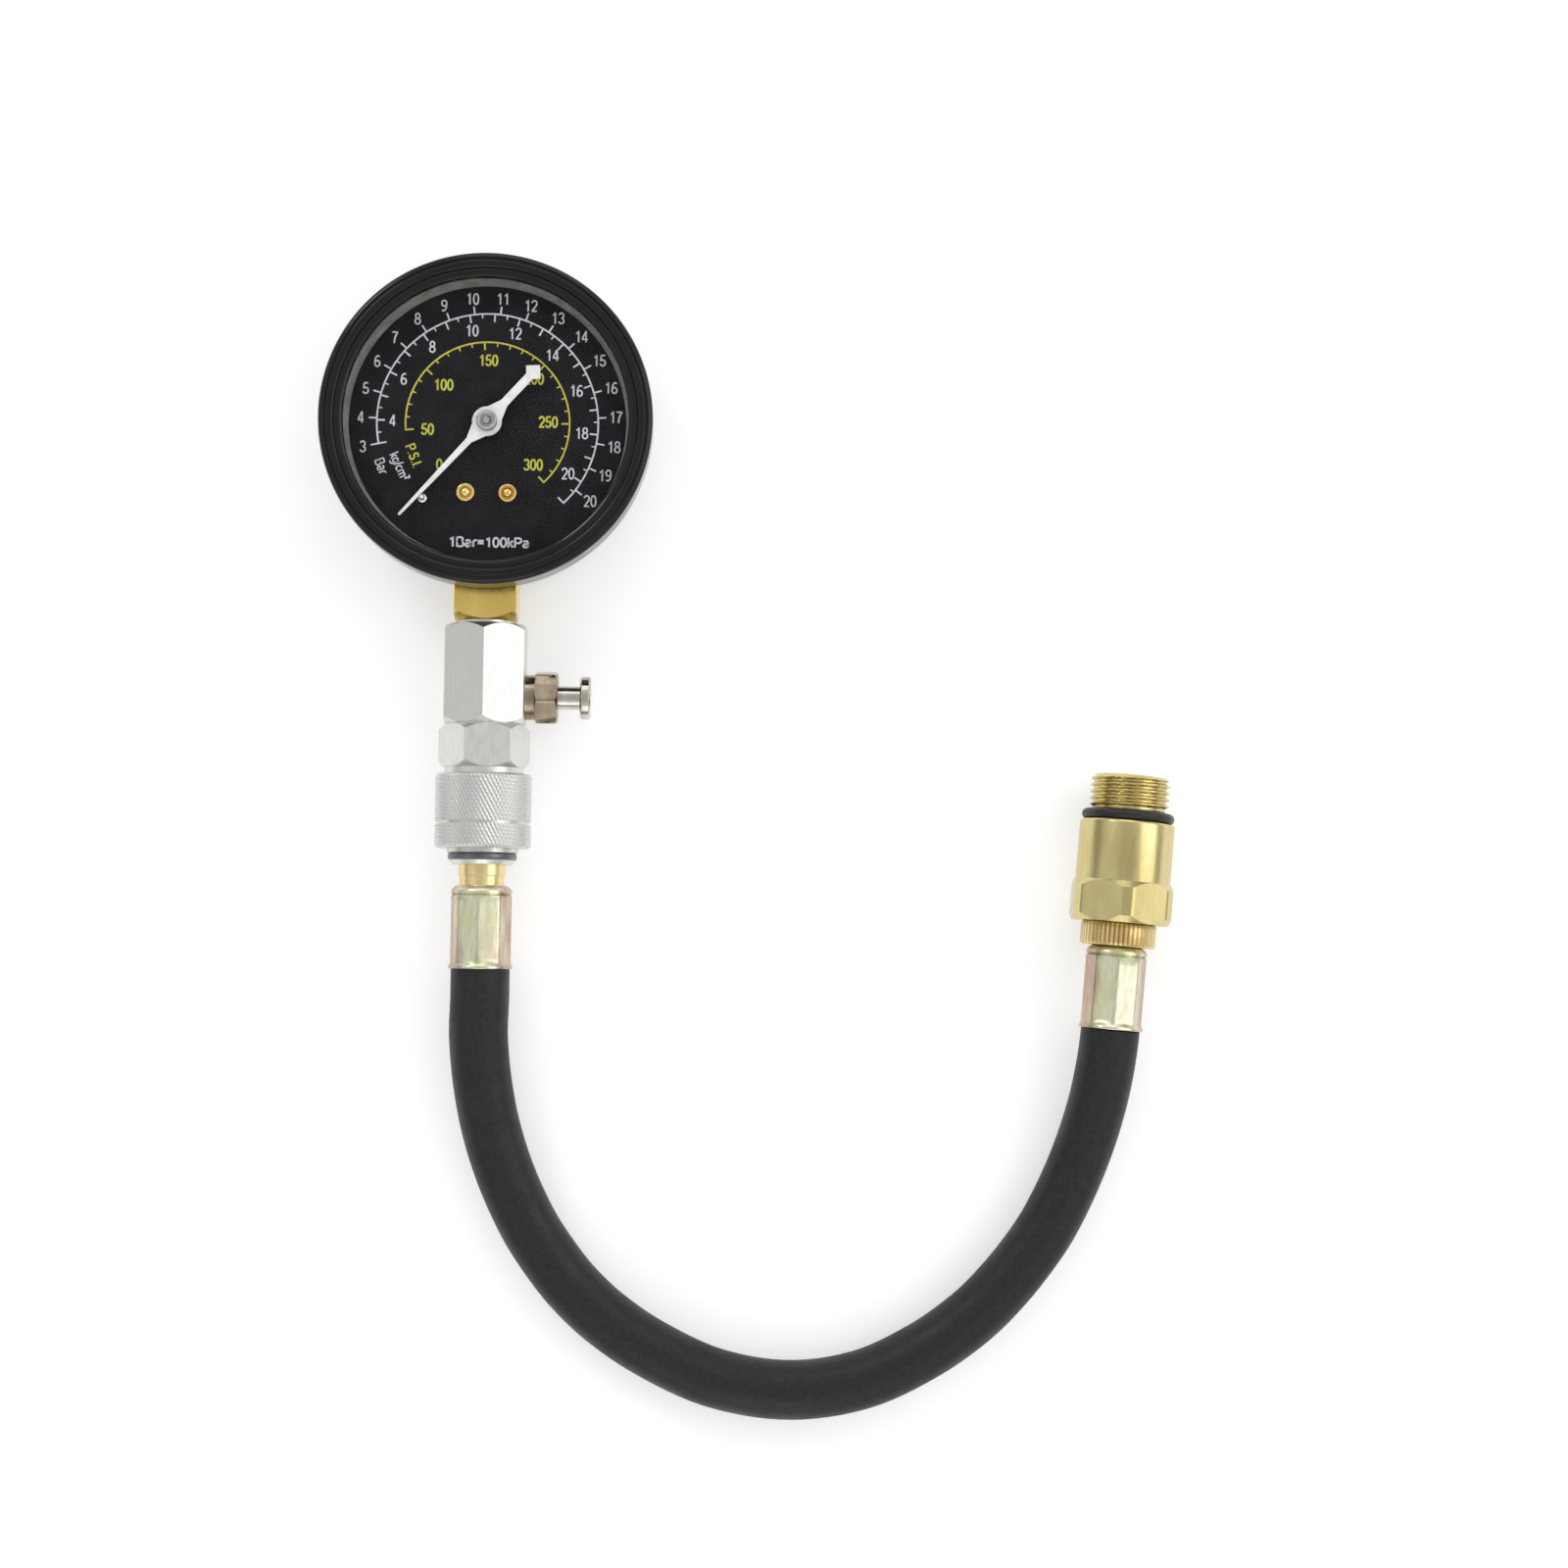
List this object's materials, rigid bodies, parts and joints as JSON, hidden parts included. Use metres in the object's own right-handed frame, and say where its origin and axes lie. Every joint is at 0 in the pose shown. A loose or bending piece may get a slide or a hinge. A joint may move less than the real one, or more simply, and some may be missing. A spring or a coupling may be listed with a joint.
{
  "type": "compression tester gauge",
  "caption": "Round dial gauge on a hexagonal body with a push-button bleed valve, a knurled quick coupler and a short hose ending in a spark plug thread.",
  "frame": {"origin": "centre of the gauge case's flat back", "axes": "+Z out of the dial, +Y up the dial with the leg running towards -Y, +X to the right of the dial"},
  "size_m": [0.1931, 0.259, 0.0269],
  "materials": {
    "black_paint": "satin",
    "clear": "clear",
    "grey_rubber": "matt",
    "dial_print": "printed satin",
    "white_paint": "matt",
    "brass": "turned",
    "steel": "turned",
    "nickel": "bright nickel",
    "aluminium": "turned",
    "zinc": "iridescent yellow plating",
    "black_rubber": "matt"
  },
  "bodies": {
    "gauge": {"case": "black_paint", "bezel": "black_paint", "lens": "clear", "lens_gasket": "grey_rubber", "dial": "dial_print", "dial_screws": "brass", "stop_pin": "steel", "hairspring": "steel", "pressure_tube": "brass", "movement_back_plate": "brass", "movement_front_plate": "brass", "pillars": "brass", "plate_screws": "steel", "movement_screws": "steel", "case_screws": "steel", "stem": "brass", "stem_washer": "brass", "hexagon_body": "aluminium", "bleed_body": "nickel", "bleed_spring": "steel", "coupler_body": "aluminium", "sleeve_spring": "steel", "plug_seal": "black_rubber", "snap_ring": "steel"},
    "pointer": {"pointer": "white_paint", "pointer_hub": "steel", "pinion_shaft": "steel"},
    "sector": {"sector_gear": "brass", "sector_shaft": "steel", "link_pin": "steel"},
    "link": {"link": "brass"},
    "tube_tip": {"tube_tip": "brass", "tip_pin": "steel"},
    "bleed_plunger": {"bleed_plunger": "nickel", "bleed_button": "nickel", "bleed_seal": "black_rubber"},
    "sleeve": {"sleeve": "nickel"},
    "lock_ball_1": {"lock_ball_1": "steel"},
    "lock_ball_2": {"lock_ball_2": "steel"},
    "lock_ball_3": {"lock_ball_3": "steel"},
    "lock_ball_4": {"lock_ball_4": "steel"},
    "lock_ball_5": {"lock_ball_5": "steel"},
    "lock_ball_6": {"lock_ball_6": "steel"},
    "hose_side": {"plug": "brass", "upper_ferrule": "zinc", "hose": "black_rubber", "lower_ferrule": "zinc", "hose_end": "brass", "collar_o_ring": "black_rubber", "valve_core_body": "brass", "valve_spring": "steel", "adapter": "brass", "adapter_o_ring": "black_rubber"},
    "valve_pin": {"valve_pin": "steel", "valve_seal": "black_rubber"}
  },
  "joints": [
    {"name": "pointer_turn", "type": "hinge", "parent": "gauge", "child": "pointer", "pos_m": [0, 0, 0.02], "axis": [0, 0, -1], "range_deg": [0, 275], "stiffness_Nm_per_rad": 0.00001, "deforming": ["hairspring", "pressure_tube"]},
    {"name": "sector_turn", "type": "hinge", "parent": "gauge", "child": "sector", "pos_m": [0.013, 0.004, 0.014], "axis": [0, 0, 1], "range_deg": [0, 36.67]},
    {"name": "link_turn", "type": "hinge", "parent": "sector", "child": "link", "pos_m": [0.0108, -0.00265, 0.0125], "axis": [0, 0, -1], "range_deg": [0, 36.67]},
    {"name": "tip_slide", "type": "slide", "parent": "gauge", "child": "tube_tip", "axis": [1, 0, 0], "range_m": [0, 0.0044]},
    {"name": "bleed_press", "type": "slide", "parent": "gauge", "child": "bleed_plunger", "axis": [-1, 0, 0], "range_m": [0, 0.0025], "stiffness_N_per_m": 600, "springref_m": -0.001, "deforming": ["bleed_spring"]},
    {"name": "sleeve_slide", "type": "slide", "parent": "gauge", "child": "sleeve", "axis": [0, 1, 0], "range_m": [0, 0.0011], "stiffness_N_per_m": 1500, "springref_m": -0.002, "deforming": ["sleeve_spring"]},
    {"name": "ball_1_slide", "type": "slide", "parent": "gauge", "child": "lock_ball_1", "axis": [0.866, 0, 0.5], "range_m": [0, 0.00099]},
    {"name": "ball_2_slide", "type": "slide", "parent": "gauge", "child": "lock_ball_2", "axis": [0, 0, 1], "range_m": [0, 0.00099]},
    {"name": "ball_3_slide", "type": "slide", "parent": "gauge", "child": "lock_ball_3", "axis": [-0.866, 0, 0.5], "range_m": [0, 0.00099]},
    {"name": "ball_4_slide", "type": "slide", "parent": "gauge", "child": "lock_ball_4", "axis": [-0.866, 0, -0.5], "range_m": [0, 0.00099]},
    {"name": "ball_5_slide", "type": "slide", "parent": "gauge", "child": "lock_ball_5", "axis": [0, 0, -1], "range_m": [0, 0.00099]},
    {"name": "ball_6_slide", "type": "slide", "parent": "gauge", "child": "lock_ball_6", "axis": [0.866, 0, -0.5], "range_m": [0, 0.00099]},
    {"name": "hose_swivel", "type": "hinge", "parent": "gauge", "child": "hose_side", "pos_m": [0, -0.0888, 0.0108], "axis": [0, 1, 0], "range_deg": [-180, 180]},
    {"name": "valve_slide", "type": "slide", "parent": "hose_side", "child": "valve_pin", "axis": [-0.0785, -0.9969, 0], "range_m": [0, 0.001], "stiffness_N_per_m": 100, "springref_m": -0.001, "deforming": ["valve_spring"]}
  ],
  "couplings": [
    {"joint": "sector_turn", "follows": "tip_slide", "rad_per_m": 145.32},
    {"joint": "link_turn", "follows": "tip_slide", "rad_per_m": 145.32},
    {"joint": "pointer_turn", "follows": "tip_slide", "rad_per_m": 1089.9},
    {"joint": "ball_1_slide", "follows": "sleeve_slide", "ratio": 0.9},
    {"joint": "ball_2_slide", "follows": "sleeve_slide", "ratio": 0.9},
    {"joint": "ball_3_slide", "follows": "sleeve_slide", "ratio": 0.9},
    {"joint": "ball_4_slide", "follows": "sleeve_slide", "ratio": 0.9},
    {"joint": "ball_5_slide", "follows": "sleeve_slide", "ratio": 0.9},
    {"joint": "ball_6_slide", "follows": "sleeve_slide", "ratio": 0.9}
  ]
}
